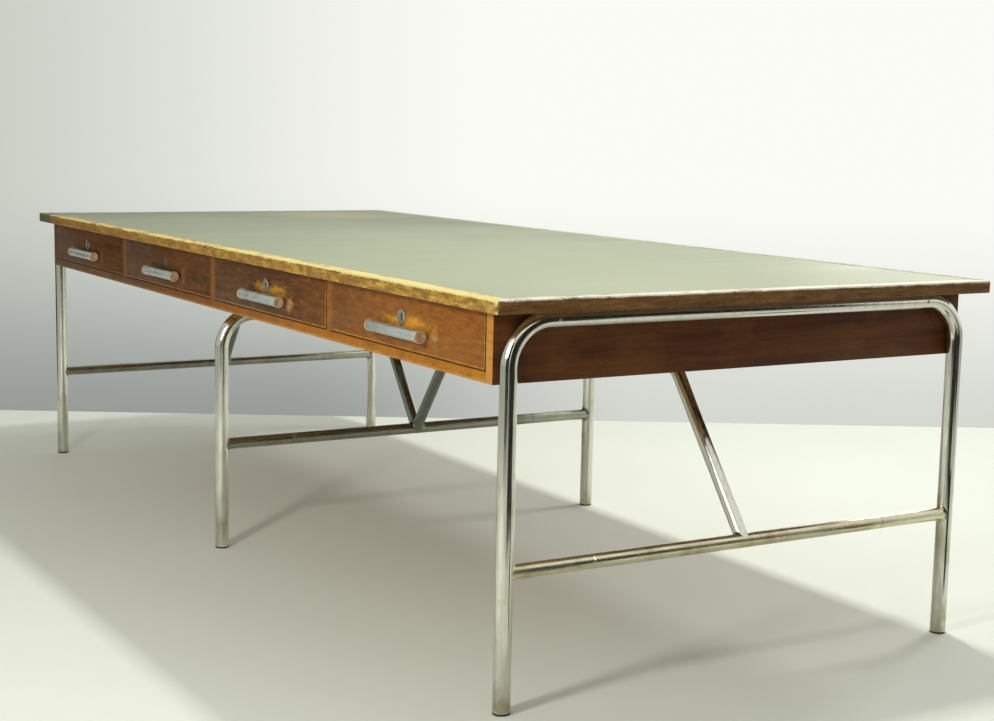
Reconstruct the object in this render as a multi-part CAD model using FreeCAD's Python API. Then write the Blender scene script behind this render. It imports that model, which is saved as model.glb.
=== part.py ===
import FreeCAD
import Part
import math
import os

# Long writing desk in millimetres: a linoleum top on a box of four drawers, carried by
# three bent tube frames. +X runs along the drawer fronts, the drawers open towards -Y,
# +Z is up, and the origin is on the floor under the middle of the top.

# Top: a board with an inlaid linoleum sheet and a mitred lipping all round
TOP_LENGTH = 2800.0
TOP_DEPTH = 1200.0
DESK_HEIGHT = 760.0
TOP_THICKNESS = 26.0
LINOLEUM_THICKNESS = 3.0
LIPPING_WIDTH = 30.0
TOP_CORNER_RADIUS = 10.0

# Drawer box under the top
END_OVERHANG = 62.0
FRONT_OVERHANG = 30.0
BOX_HEIGHT = 132.0
END_PANEL_THICKNESS = 24.0
BACK_APRON_THICKNESS = 20.0
RAIL_HEIGHT = 20.0
RAIL_DEPTH = 40.0
DIVIDER_THICKNESS = 20.0
BEAM_THICKNESS = 22.0
RUNNER_WIDTH = 22.0
DRAWER_COUNT = 4

# Drawers: dovetailed sides, a back in housings and a bottom in grooves
DRAWER_DEPTH = 480.0
FRONT_THICKNESS = 20.0
FRONT_GAP = 1.5
SIDE_THICKNESS = 12.0
SIDE_DROP = 20.0
BACK_THICKNESS = 12.0
BACK_DROP = 8.0
BACK_INSET = 10.0
HOUSING_DEPTH = 4.0
BOTTOM_THICKNESS = 6.0
BOTTOM_RISE = 9.0
GROOVE_DEPTH = 6.0
TAIL_LENGTH = 13.0
TAIL_COUNT = 3
TAIL_SHARE = 0.62
TAIL_SLOPE = 1.0 / 7.0

# Bar handles: a tube on two posts, with turned wooden caps pegged into its ends
HANDLE_LENGTH = 212.0
HANDLE_DIAMETER = 23.0
HANDLE_WALL = 2.0
HANDLE_STANDOFF = 16.0
HANDLE_DROP = 74.0
POST_DIAMETER = 11.0
POST_SPACING = 150.0
END_CAP_DIAMETER = 26.0
END_CAP_THICKNESS = 4.0
END_PEG_LENGTH = 14.0

# Drawer locks: a turning plug whose pin lifts a bolt into a strike in the top
LOCKED_DRAWERS = (1, 3, 4)
LOCK_DROP = 47.0
ROSETTE_DIAMETER = 32.0
ROSETTE_THICKNESS = 2.5
BARREL_WALL = 3.0
PIN_DIAMETER = 4.0
PIN_EDGE = 0.6
PLUG_RECESS = 1.0
KEYHOLE_DIAMETER = 6.0
KEYHOLE_RISE = 4.0
KEYHOLE_SLOT_WIDTH = 3.4
KEYHOLE_SLOT_DROP = 7.0
KEYHOLE_DEPTH = 9.0
BOLT_THROW = 8.0
BOLT_WIDTH = 30.0
BOLT_THICKNESS = 5.0
BOLT_BELOW_AXIS = 13.0
BOLT_ABOVE_AXIS = 14.0
NOSE_WIDTH = 20.0
CASE_WALL = 2.0
SLOT_PLAY = 0.5
STRIKE_LENGTH = 52.0
STRIKE_WIDTH = 17.0
STRIKE_THICKNESS = 2.0
STRIKE_PLAY = 1.0
WOOD_PLUG_DIAMETER = 32.0
WOOD_PLUG_PROUD = 0.4

# Tube frames: three bent U legs, stretchers on brazed stubs, and two bent braces
LEG_DIAMETER = 33.0
LEG_WALL = 2.0
LEG_INSET = 23.0
BEND_RADIUS = 85.0
STRETCHER_DIAMETER = 28.0
STRETCHER_WALL = 2.0
STRETCHER_HEIGHT = 262.0
STUB_LENGTH = 189.0
SPIGOT_LENGTH = 40.0
SPIGOT_WALL = 2.0
BRACE_DIAMETER = 28.0
BRACE_WALL = 2.0
BRACE_ANGLE = 53.0
BRACE_BEND_RADIUS = 90.0
FOOT_THICKNESS = 4.0
FOOT_SPIGOT_LENGTH = 15.0

# Low-head wood screws that hold the frames to the box
SCREW_DIAMETER = 4.0
SCREW_HEAD_DIAMETER = 7.0
SCREW_HEAD_HEIGHT = 1.2
SCREW_BITE = 17.0
SCREW_FROM_BEND = 12.0
BRACE_SCREW_INSET = 120.0

# Clearances: pieces that slide, round pieces in their holes, and brazed or screwed seats
RUNNING_GAP = 0.3
HOLE_PLAY = 0.15
SEAT_GAP = 0.2

# Faces and levels that several pieces share
half_length = TOP_LENGTH / 2
half_depth = TOP_DEPTH / 2
box_top = DESK_HEIGHT - TOP_THICKNESS
box_bottom = box_top - BOX_HEIGHT
box_x = half_length - END_OVERHANG
box_y = half_depth - FRONT_OVERHANG
inner_x = box_x - END_PANEL_THICKNESS
apron_y = box_y - BACK_APRON_THICKNESS
beam_y = BEAM_THICKNESS / 2
rail_top = box_bottom + RAIL_HEIGHT
rail_back = RAIL_DEPTH - box_y
bay_width = (2 * inner_x - (DRAWER_COUNT - 1) * DIVIDER_THICKNESS) / DRAWER_COUNT
bay_pitch = bay_width + DIVIDER_THICKNESS
bay_centres = [bay_width / 2 - inner_x + n * bay_pitch for n in range(DRAWER_COUNT)]
divider_centres = [x + bay_pitch / 2 for x in bay_centres[:-1]]

front_face = -box_y
front_back = front_face + FRONT_THICKNESS
front_x = bay_width / 2 - FRONT_GAP
front_bottom = rail_top + FRONT_GAP
front_top = box_top - FRONT_GAP
side_bottom = rail_top + RUNNING_GAP
side_top = front_top - SIDE_DROP
side_inner = front_x - SIDE_THICKNESS
drawer_end = front_face + DRAWER_DEPTH
bottom_level = side_bottom + BOTTOM_RISE
bottom_top = bottom_level + BOTTOM_THICKNESS
tail_tip = front_back - TAIL_LENGTH

handle_y = front_face - HANDLE_STANDOFF
handle_z = box_top - HANDLE_DROP
handle_bore = HANDLE_DIAMETER / 2 - HANDLE_WALL

lock_z = box_top - LOCK_DROP
pin_offset = BOLT_THROW / 2
pin_reach = math.hypot(pin_offset, pin_offset)
plug_radius = pin_reach + PIN_DIAMETER / 2 + PIN_EDGE
barrel_radius = plug_radius + HOLE_PLAY + BARREL_WALL
rosette_front = front_face - ROSETTE_THICKNESS
bolt_front = front_back + CASE_WALL + RUNNING_GAP
bolt_back = bolt_front + BOLT_THICKNESS
bolt_low = lock_z - BOLT_BELOW_AXIS
bolt_shoulder = lock_z + BOLT_ABOVE_AXIS

leg_radius = LEG_DIAMETER / 2
leg_y = box_y - LEG_INSET
frame_x = box_x + leg_radius + SEAT_GAP
end_run_z = box_top - leg_radius - SEAT_GAP
middle_run_z = box_bottom - leg_radius - SEAT_GAP
stretcher_radius = STRETCHER_DIAMETER / 2
stub_end = leg_y - STUB_LENGTH
brace_radius = BRACE_DIAMETER / 2
brace_run_z = box_bottom - brace_radius - SEAT_GAP
brace_reach = (brace_run_z - STRETCHER_HEIGHT) / math.tan(math.radians(BRACE_ANGLE))
run_screw_y = leg_y - BEND_RADIUS - SCREW_FROM_BEND
brace_screw_near = brace_reach + BRACE_SCREW_INSET
brace_screw_far = frame_x - brace_reach - BRACE_SCREW_INSET

parts = {}


def vec(x, y, z):
    return FreeCAD.Vector(x, y, z)


def block(x0, x1, y0, y1, z0, z1):
    """A board between two corners."""
    return Part.makeBox(x1 - x0, y1 - y0, z1 - z0, vec(x0, y0, z0))


def rod(radius, start, end):
    """A round bar from one point to another."""
    return Part.makeCylinder(radius, start.distanceToPoint(end), start, end - start)


def prism(points, travel):
    """A flat outline pushed along a vector."""
    return Part.Face(Part.makePolygon(points + points[:1])).extrude(travel)


def bend_path(points, radius):
    """Straight runs through the points, each but the last followed by an arc of one radius."""
    edges = []
    start = points[0]
    for before, corner, after in zip(points, points[1:], points[2:]):
        come = (corner - before).normalize()
        go = (after - corner).normalize()
        half_turn = come.getAngle(go) / 2
        inward = (go - come).normalize()
        tangent = radius * math.tan(half_turn)
        crown = corner + inward * (radius / math.cos(half_turn) - radius)
        enter = corner - come * tangent
        leave = corner + go * tangent
        edges.append(Part.LineSegment(start, enter).toShape())
        edges.append(Part.Arc(enter, crown, leave).toShape())
        start = leave
    edges.append(Part.LineSegment(start, points[-1]).toShape())
    return edges


def tube(points, bend_radius, radius, wall):
    """A round tube along straight runs and bends, bored along the runs."""
    path = bend_path(points, bend_radius)
    ring = Part.Wire(Part.makeCircle(radius, points[0], points[1] - points[0]))
    bar = Part.Wire(path).makePipeShell([ring], True, False)
    for run in path[::2]:
        bar = bar.cut(rod(radius - wall, run.firstVertex().Point, run.lastVertex().Point))
    return bar


def straight_tube(start, end, radius, wall):
    return rod(radius, start, end).cut(rod(radius - wall, start, end))


def screw(seat, drive, grip):
    """A low-head screw: its head on the seat, its shank along the unit vector drive."""
    head = rod(SCREW_HEAD_DIAMETER / 2, seat, seat - drive * SCREW_HEAD_HEIGHT)
    return head.fuse(rod(SCREW_DIAMETER / 2, seat, seat + drive * grip)).removeSplitter()


def screw_hole(seat, drive, grip):
    return rod(SCREW_DIAMETER / 2 + HOLE_PLAY, seat, seat + drive * (grip + HOLE_PLAY))


def make_top():
    """Core board, linoleum sheet set flush on it, and four mitred lippings."""
    core_x = half_length - LIPPING_WIDTH
    core_y = half_depth - LIPPING_WIDTH
    core_top = DESK_HEIGHT - LINOLEUM_THICKNESS
    parts["top_panel"] = block(-core_x, core_x, -core_y, core_y, box_top, core_top)
    parts["linoleum_sheet"] = block(-core_x, core_x, -core_y, core_y, core_top, DESK_HEIGHT)
    slab = block(-half_length, half_length, -half_depth, half_depth, box_top, DESK_HEIGHT)
    uprights = [e for e in slab.Edges if e.BoundBox.ZLength > TOP_THICKNESS / 2]
    slab = slab.makeFillet(TOP_CORNER_RADIUS, uprights)
    ring = slab.cut(block(-core_x, core_x, -core_y, core_y, box_top, DESK_HEIGHT))
    rise = vec(0, 0, TOP_THICKNESS)
    for name, side in (("lipping_front", -1), ("lipping_back", 1)):
        mitred = prism([vec(-half_length, side * half_depth, box_top),
                        vec(half_length, side * half_depth, box_top),
                        vec(core_x, side * core_y, box_top),
                        vec(-core_x, side * core_y, box_top)], rise)
        parts[name] = ring.common(mitred)
    for name, side in (("lipping_left", -1), ("lipping_right", 1)):
        mitred = prism([vec(side * half_length, -half_depth, box_top),
                        vec(side * half_length, half_depth, box_top),
                        vec(side * core_x, core_y, box_top),
                        vec(side * core_x, -core_y, box_top)], rise)
        parts[name] = ring.common(mitred)


def make_box():
    """End panels, rails and boards that the drawers hang between."""
    parts["end_panel_left"] = block(-box_x, -inner_x, -box_y, box_y, box_bottom, box_top)
    parts["end_panel_right"] = block(inner_x, box_x, -box_y, box_y, box_bottom, box_top)
    parts["back_apron"] = block(-inner_x, inner_x, apron_y, box_y, box_bottom, box_top)
    parts["front_rail"] = block(-inner_x, inner_x, -box_y, rail_back, box_bottom, rail_top)
    parts["centre_beam"] = block(-inner_x, inner_x, -beam_y, beam_y, box_bottom, box_top)
    half = DIVIDER_THICKNESS / 2
    dividers = []
    rear_rails = []
    for x in divider_centres:
        board = block(x - half, x + half, -box_y, -beam_y, box_bottom, box_top)
        dividers.append(board.cut(parts["front_rail"]))
        rear_rails.append(block(x - half, x + half, beam_y, apron_y, box_bottom, box_top))
    parts["dividers"] = Part.makeCompound(dividers)
    parts["rear_cross_rails"] = Part.makeCompound(rear_rails)
    runners = []
    for x in bay_centres:
        for side in (-1, 1):
            wall = x + side * bay_width / 2
            edge = wall - side * RUNNER_WIDTH
            runners.append(block(min(wall, edge), max(wall, edge), rail_back, -beam_y, box_bottom, rail_top))
    parts["drawer_runners"] = Part.makeCompound(runners)


def dovetailed_side(x, side):
    """One drawer side with tails at its front end."""
    outer = x + side * front_x
    inner = x + side * side_inner
    low = min(outer, inner)
    board = block(low, low + SIDE_THICKNESS, front_back, drawer_end, side_bottom, side_top)
    pitch = (side_top - front_bottom) / TAIL_COUNT
    root = pitch * TAIL_SHARE / 2
    tip = root + TAIL_LENGTH * TAIL_SLOPE
    for n in range(TAIL_COUNT):
        z = front_bottom + (n + 0.5) * pitch
        tail = prism([vec(low, front_back, z - root), vec(low, tail_tip, z - tip),
                      vec(low, tail_tip, z + tip), vec(low, front_back, z + root)],
                     vec(SIDE_THICKNESS, 0, 0))
        board = board.fuse(tail)
    return board.removeSplitter()


def make_handle(x):
    """A tube with two posts, and the turned caps whose pegs fill its ends."""
    half = HANDLE_LENGTH / 2 - END_CAP_THICKNESS
    left = vec(x - half, handle_y, handle_z)
    right = vec(x + half, handle_y, handle_z)
    bar = rod(HANDLE_DIAMETER / 2, left, right)
    for side in (-1, 1):
        foot = vec(x + side * POST_SPACING / 2, front_face, handle_z)
        bar = bar.fuse(rod(POST_DIAMETER / 2, foot, foot + vec(0, -HANDLE_STANDOFF, 0)))
    caps = []
    for end, outward in ((left, -1), (right, 1)):
        cap = rod(END_CAP_DIAMETER / 2, end, end + vec(outward * END_CAP_THICKNESS, 0, 0))
        peg = rod(handle_bore - HOLE_PLAY, end, end - vec(outward * END_PEG_LENGTH, 0, 0))
        caps.append(cap.fuse(peg).removeSplitter())
    return bar.cut(rod(handle_bore, left, right)), Part.makeCompound(caps)


def make_drawer(number, x):
    """Front, sides, back, bottom and handle of one drawer."""
    name = "drawer_%d_" % number
    front = block(x - front_x, x + front_x, front_face, front_back, front_bottom, front_top)
    sides = [dovetailed_side(x, -1), dovetailed_side(x, 1)]
    reach = side_inner + GROOVE_DEPTH
    bottom = block(x - reach, x + reach, front_back - GROOVE_DEPTH, drawer_end, bottom_level, bottom_top)
    housed = side_inner + HOUSING_DEPTH
    back_end = drawer_end - BACK_INSET
    back = block(x - housed, x + housed, back_end - BACK_THICKNESS, back_end,
                 bottom_top, side_top - BACK_DROP)
    sides = [board.cut(bottom).cut(back) for board in sides]
    front = front.cut(bottom)
    for board in sides:
        front = front.cut(board)
    hole_radius = WOOD_PLUG_DIAMETER / 2
    if number in LOCKED_DRAWERS:
        hole_radius = barrel_radius
    through = vec(x, front_back, lock_z)
    mouth = vec(x, front_face, lock_z)
    parts[name + "front"] = front.cut(rod(hole_radius + HOLE_PLAY, through, mouth))
    parts[name + "sides"] = Part.makeCompound(sides)
    parts[name + "back"] = back
    parts[name + "bottom"] = bottom
    parts[name + "handle"], parts[name + "handle_plugs"] = make_handle(x)
    if number in LOCKED_DRAWERS:
        make_lock(number, x)
    else:
        parts[name + "hole_plug"] = rod(hole_radius, through, mouth - vec(0, WOOD_PLUG_PROUD, 0))


def make_lock(number, x):
    """Case with its rosette, turning plug, sliding bolt, and the strike above them."""
    name = "lock_%d_" % number
    axis = vec(x, 0, lock_z)
    rear = axis + vec(0, front_back, 0)
    collar = rod(ROSETTE_DIAMETER / 2, axis + vec(0, front_face, 0), axis + vec(0, rosette_front, 0))
    bore = rod(plug_radius + HOLE_PLAY, rear + vec(0, CASE_WALL, 0), axis + vec(0, rosette_front, 0))
    barrel = collar.fuse(rod(barrel_radius, rear, axis + vec(0, front_face, 0))).removeSplitter().cut(bore)

    hollow_x = BOLT_WIDTH / 2 + RUNNING_GAP
    hollow_low = bolt_low - RUNNING_GAP
    hollow_top = bolt_shoulder + BOLT_THROW + RUNNING_GAP
    hollow_back = bolt_back + RUNNING_GAP
    nose_x = NOSE_WIDTH / 2
    case = block(x - hollow_x - CASE_WALL, x + hollow_x + CASE_WALL, front_back, hollow_back + CASE_WALL,
                 hollow_low - CASE_WALL, hollow_top + CASE_WALL)
    case = case.cut(block(x - hollow_x, x + hollow_x, front_back + CASE_WALL, hollow_back,
                          hollow_low, hollow_top))
    case = case.cut(block(x - nose_x - RUNNING_GAP, x + nose_x + RUNNING_GAP, front_back + CASE_WALL,
                          hollow_back, hollow_top, hollow_top + CASE_WALL)).cut(bore)
    parts[name + "case"] = Part.makeCompound([case, barrel])

    face = axis + vec(0, rosette_front + PLUG_RECESS, 0)
    plug = rod(plug_radius, rear + vec(0, CASE_WALL, 0), face)
    pin = axis + vec(pin_offset, front_back, -pin_offset)
    plug = plug.fuse(rod(PIN_DIAMETER / 2, pin, vec(pin.x, bolt_back, pin.z)))
    bow = face + vec(0, 0, KEYHOLE_RISE)
    keyhole = rod(KEYHOLE_DIAMETER / 2, bow, bow + vec(0, KEYHOLE_DEPTH, 0))
    slot = block(x - KEYHOLE_SLOT_WIDTH / 2, x + KEYHOLE_SLOT_WIDTH / 2, face.y, face.y + KEYHOLE_DEPTH,
                 lock_z - KEYHOLE_SLOT_DROP, bow.z)
    parts[name + "plug"] = plug.cut(keyhole.fuse(slot))

    bolt = block(x - BOLT_WIDTH / 2, x + BOLT_WIDTH / 2, bolt_front, bolt_back, bolt_low, bolt_shoulder)
    bolt = bolt.fuse(block(x - nose_x, x + nose_x, bolt_front, bolt_back, bolt_shoulder, front_top))
    room = PIN_DIAMETER / 2 + SLOT_PLAY
    window = block(x + pin_offset - room, x + pin_reach + room, bolt_front, bolt_back,
                   pin.z - room, pin.z + room)
    parts[name + "bolt"] = bolt.removeSplitter().cut(window)

    nose_y = (bolt_front + bolt_back) / 2
    plate = block(x - STRIKE_LENGTH / 2, x + STRIKE_LENGTH / 2, nose_y - STRIKE_WIDTH / 2,
                  nose_y + STRIKE_WIDTH / 2, box_top, box_top + STRIKE_THICKNESS)
    mortise = block(x - nose_x - STRIKE_PLAY, x + nose_x + STRIKE_PLAY, bolt_front - STRIKE_PLAY,
                    bolt_back + STRIKE_PLAY, box_top, box_top + BOLT_THROW + STRIKE_PLAY)
    parts["top_panel"] = parts["top_panel"].cut(plate).cut(mortise)
    strike_plates.append(plate.cut(mortise))


def make_frame(name, x, run_z):
    """One bent U of leg tube, its stretcher with swaged ends, two stubs and two feet."""
    foot = FOOT_THICKNESS
    corners = [vec(x, -leg_y, foot), vec(x, -leg_y, run_z), vec(x, leg_y, run_z), vec(x, leg_y, foot)]
    parts["u_tube_" + name] = tube(corners, BEND_RADIUS, leg_radius, LEG_WALL)
    level = STRETCHER_HEIGHT
    bore = stretcher_radius - STRETCHER_WALL
    spigot = bore - HOLE_PLAY
    stretcher = straight_tube(vec(x, -stub_end, level), vec(x, stub_end, level), stretcher_radius,
                              stretcher_radius - spigot + SPIGOT_WALL)
    for side in (-1, 1):
        joint = vec(x, side * stub_end, level)
        tip = joint + vec(0, side * SPIGOT_LENGTH, 0)
        stretcher = stretcher.fuse(straight_tube(joint, tip, spigot, SPIGOT_WALL))
        axis = vec(x, side * leg_y, level)
        stub = straight_tube(joint, axis, stretcher_radius, STRETCHER_WALL)
        leg = rod(leg_radius + SEAT_GAP, vec(x, side * leg_y, 0), vec(x, side * leg_y, 2 * level))
        stubs.append(stub.cut(leg))
        pad = rod(leg_radius, vec(x, side * leg_y, 0), vec(x, side * leg_y, foot))
        inside = leg_radius - LEG_WALL - HOLE_PLAY
        peg = rod(inside, vec(x, side * leg_y, foot), vec(x, side * leg_y, foot + FOOT_SPIGOT_LENGTH))
        feet.append(pad.fuse(peg).removeSplitter())
    parts["stretcher_" + name] = stretcher.removeSplitter()


def make_brace(name, side):
    """A bent tube from the end stretcher up under the box and down to the middle stretcher."""
    end = vec(side * frame_x, 0, STRETCHER_HEIGHT)
    middle = vec(0, 0, STRETCHER_HEIGHT)
    corners = [end, vec(end.x - side * brace_reach, 0, brace_run_z),
               vec(side * brace_reach, 0, brace_run_z), middle]
    brace = tube(corners, BRACE_BEND_RADIUS, brace_radius, BRACE_WALL)
    half = vec(0, STRETCHER_DIAMETER, 0)
    for centre in (end, middle):
        brace = brace.cut(rod(stretcher_radius + SEAT_GAP, centre - half, centre + half))
    low_x = min(side * SEAT_GAP / 2, side * 2 * frame_x)
    own_side = block(low_x, low_x + 2 * frame_x, -BRACE_DIAMETER, BRACE_DIAMETER,
                     STRETCHER_HEIGHT, box_bottom)
    parts["brace_" + name] = brace.common(own_side)


def fasten(seat, drive, grip, nodes):
    """Drive one screw through the named pieces."""
    screws.append(screw(seat, drive, grip))
    for node in nodes:
        parts[node] = parts[node].cut(screw_hole(seat, drive, grip))


strike_plates = []
stubs = []
feet = []
screws = []

make_top()
make_box()
for number, bay_x in enumerate(bay_centres, start=1):
    make_drawer(number, bay_x)
parts["strike_plates"] = Part.makeCompound(strike_plates)

make_frame("left", -frame_x, end_run_z)
make_frame("middle", 0.0, middle_run_z)
make_frame("right", frame_x, end_run_z)
make_brace("left", -1)
make_brace("right", 1)
parts["stretcher_stubs"] = Part.makeCompound(stubs)
parts["foot_plugs"] = Part.makeCompound(feet)

end_grip = LEG_DIAMETER + SEAT_GAP + SCREW_BITE
for side, name in ((-1, "left"), (1, "right")):
    for y in (-run_screw_y, run_screw_y):
        outside = vec(side * (frame_x + leg_radius), y, end_run_z)
        fasten(outside, vec(-side, 0, 0), end_grip, ["u_tube_" + name, "end_panel_" + name])
    for x in (brace_screw_near, brace_screw_far):
        under = vec(side * x, 0, brace_run_z - brace_radius)
        fasten(under, vec(0, 0, 1), BRACE_DIAMETER + SEAT_GAP + SCREW_BITE, ["brace_" + name, "centre_beam"])
for y, board in ((-run_screw_y, "dividers"), (run_screw_y, "rear_cross_rails")):
    under = vec(0, y, middle_run_z - leg_radius)
    fasten(under, vec(0, 0, 1), end_grip, ["u_tube_middle", board])
parts["frame_screws"] = Part.makeCompound(screws)

os.makedirs("parts", exist_ok=True)
for node, shape in parts.items():
    shape.exportStep("parts/%s.step" % node)
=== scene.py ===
import math

import bmesh
import bpy
from mathutils import Matrix, Vector, noise


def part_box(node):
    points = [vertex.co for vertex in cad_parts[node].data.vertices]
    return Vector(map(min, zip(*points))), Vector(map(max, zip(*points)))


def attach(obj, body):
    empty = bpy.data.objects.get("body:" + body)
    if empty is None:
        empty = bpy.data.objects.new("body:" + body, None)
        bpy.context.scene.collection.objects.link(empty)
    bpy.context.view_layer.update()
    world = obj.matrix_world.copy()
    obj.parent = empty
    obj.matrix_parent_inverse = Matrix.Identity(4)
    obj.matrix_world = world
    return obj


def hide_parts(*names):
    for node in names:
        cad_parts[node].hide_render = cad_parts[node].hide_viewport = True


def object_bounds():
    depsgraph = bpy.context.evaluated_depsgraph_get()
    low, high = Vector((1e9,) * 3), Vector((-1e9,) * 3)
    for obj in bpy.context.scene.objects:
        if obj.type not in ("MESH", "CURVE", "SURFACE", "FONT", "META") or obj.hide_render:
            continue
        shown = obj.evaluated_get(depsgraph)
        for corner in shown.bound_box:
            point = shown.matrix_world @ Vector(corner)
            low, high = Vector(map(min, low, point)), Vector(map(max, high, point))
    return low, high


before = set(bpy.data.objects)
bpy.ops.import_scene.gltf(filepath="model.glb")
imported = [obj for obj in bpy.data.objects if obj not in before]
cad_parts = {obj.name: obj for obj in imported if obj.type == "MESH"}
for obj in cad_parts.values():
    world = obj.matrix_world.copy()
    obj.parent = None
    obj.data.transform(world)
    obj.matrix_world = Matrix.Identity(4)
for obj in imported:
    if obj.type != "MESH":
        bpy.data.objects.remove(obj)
CAD_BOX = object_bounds()

# A long writing desk: a linoleum top with a worn oak lipping, four varnished drawers with
# bar handles, and three frames of plated tube. Metres, +X along the drawers, -Y the front.

MM = 0.001

# Places that are read from the frame
TOP_LOW, TOP_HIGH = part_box("top_panel")
DESK_HIGH = CAD_BOX[1]
BOX_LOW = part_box("end_panel_right")[0]
FRONTS = {n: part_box(f"drawer_{n}_front") for n in (1, 2, 3, 4)}
FRONT_LOW, FRONT_HIGH = FRONTS[4]
HANDLE_LOW, HANDLE_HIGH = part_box("drawer_4_handle")
CAP_LOW, CAP_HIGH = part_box("drawer_4_handle_plugs")
LOCK_LOW, LOCK_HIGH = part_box("lock_4_plug")
STRETCHER_LOW, STRETCHER_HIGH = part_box("stretcher_right")
LEG_LOW, LEG_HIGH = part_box("u_tube_right")
BRACE_LOW, BRACE_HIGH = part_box("brace_right")

LIPPING_WIDTH = DESK_HIGH.x - TOP_HIGH.x
LIPPING_HEIGHT = DESK_HIGH.z - TOP_LOW.z
LEG_RADIUS = (LEG_HIGH.x - LEG_LOW.x) / 2
FRAME_X = (LEG_HIGH.x + LEG_LOW.x) / 2
LEG_Y = LEG_HIGH.y - LEG_RADIUS
FOOT_TOP = LEG_LOW.z
STRETCHER_RADIUS = (STRETCHER_HIGH.z - STRETCHER_LOW.z) / 2
STRETCHER_Z = (STRETCHER_HIGH.z + STRETCHER_LOW.z) / 2
BRACE_RADIUS = (BRACE_HIGH.y - BRACE_LOW.y) / 2
BRACE_RUN_Z = BRACE_HIGH.z - BRACE_RADIUS
HANDLE_RADIUS = (HANDLE_HIGH.z - HANDLE_LOW.z) / 2
HANDLE_Z = (HANDLE_HIGH.z + HANDLE_LOW.z) / 2
HANDLE_Y = HANDLE_LOW.y + HANDLE_RADIUS
CAP_RADIUS = (CAP_HIGH.z - CAP_LOW.z) / 2
LOCK_Z = (LOCK_HIGH.z + LOCK_LOW.z) / 2
BAY_PITCH = (FRONT_LOW - FRONTS[3][0]).x
FRONT_HALF = (FRONT_HIGH.x - FRONT_LOW.x) / 2
DRAWERS = {n: (low.x + high.x) / 2 for n, (low, high) in FRONTS.items()}
LOCKED = (1, 3, 4)

# Sizes that the frame's boxes don't give
LEG_BEND = 85 * MM
BRACE_BEND = 90 * MM
BRACE_ANGLE = math.radians(53)
STUB_JOINT_Y = 358 * MM
JOINT_GROOVE = 0.9 * MM
BRAZE_REACH = 7 * MM
CAP_THICKNESS = 4 * MM
BAR_WALL = 2 * MM
PEG_PLAY = 0.2 * MM
PEG_RADIUS = HANDLE_RADIUS - BAR_WALL - PEG_PLAY
PEG_LENGTH = 14 * MM
SCREW_HEAD_RADIUS = 3.5 * MM
SCREW_HEAD_HEIGHT = 1.2 * MM
SCREW_SLOT = 0.9 * MM
LEG_SCREW_INSET = 12 * MM
BRACE_SCREW_INSET = 120 * MM

# Where a tube ends inside the one that it meets, as a share of that tube's radius
STUB_END = 0.55
BRACE_END = 0.62
# Brazed beads sink a little into the brace, so that their faces don't lie on its own
BEAD_FIT = 0.985

# Wear of the lipping: how finely it is cut, its rounded corners, and how deep it is rubbed and chipped
WEAR_STEP = 7 * MM
CORNER_RADIUS = 10 * MM
TOP_ROUND = 2.4 * MM
LOW_ROUND = 1.5 * MM
RUB_DEPTH = 0.5 * MM
CHIP_DEPTH = 2.6 * MM
CORNER_WEAR = 26 * MM
# Its noise: how close the rubs and chips lie, and the value past which a chip starts
RUB_SCALE = 9.0
CHIP_SCALE = 55.0
CHIP_SHIFT = Vector((7, 3, 1))
CHIP_START = 0.22

# How finely round shapes are cut, and the turn past which an edge is shaded sharp
TURNED_SIDES = 48
LEG_SIDES = 56
LEG_BEND_STEPS = 28
BRACE_SIDES = 48
BRACE_BEND_STEPS = 18
BEAD_SIDES = 64
BEAD_STEPS = 7
TOP_STEPS = 4
LOW_STEPS = 3
CORNER_STEPS = 6
SMOOTH_ANGLE = math.radians(35)
# Solids from the frame: points nearer than this are one, faces that turn less are one, and edges that
# turn more are eased
WELD = 0.004 * MM
FLAT_ANGLE = math.radians(0.5)
EASED_ANGLE = math.radians(40)

# Camera, worked out from the photograph's perspective
CAMERA_PLACE = Vector((3.84284, -2.06929, 1.05223))
CAMERA_YAW = 1.02882
CAMERA_PITCH = 0.13806
CAMERA_ROLL = 0.02097
CAMERA_LENS = 60.555
SENSOR_WIDTH = 36.0

# Studio: two points of the line where the floor meets the wall, and how far both reach
WALL_LINE = (Vector((-2.219, -0.523, 0.0)), Vector((-0.397, 2.619, 0.0)))
WALL_RUN = 16.0
WALL_HEIGHT = 9.0
FLOOR_REACH = 30.0
# The even light from all round, as linear red, green, blue and alpha
FILL_LIGHT = (0.42, 0.43, 0.41, 1.0)


# Nodes and colours

# Kinds of node and settings that come up often. A range turns what lies between its inputs 1 and 2 to
# what lies between 3 and 4, which are 0 and 1 unless given. A mix of colours has its share in input 0 and
# its colours in 6 and 7.
RANGE = "ShaderNodeMapRange"
MATH = "ShaderNodeMath"
VECTOR = "ShaderNodeVectorMath"
MIX = "ShaderNodeMix"
COLOURS = {"out": 2, "data_type": "RGBA"}
SMOOTH = {"interpolation_type": "SMOOTHSTEP"}


def srgb(code):
    """A hex colour as linear red, green, blue and alpha."""
    channels = [int(code[i:i + 2], 16) / 255 for i in (1, 3, 5)]
    linear = [c / 12.92 if c <= 0.04045 else ((c + 0.055) / 1.055) ** 2.4 for c in channels]
    return (*linear, 1.0)


def add(tree, kind, inputs, out=0, **settings):
    """Add a node: set its properties, then give each input a link, a hex colour or another value."""
    made = tree.nodes.new(kind)
    for name, value in settings.items():
        setattr(made, name, value)
    for key, value in inputs.items():
        if isinstance(value, bpy.types.NodeSocket):
            tree.links.new(value, made.inputs[key])
        elif isinstance(value, str) and value.startswith("#"):
            made.inputs[key].default_value = srgb(value)
        else:
            made.inputs[key].default_value = value
    return made.outputs[out] if made.outputs else made


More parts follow.
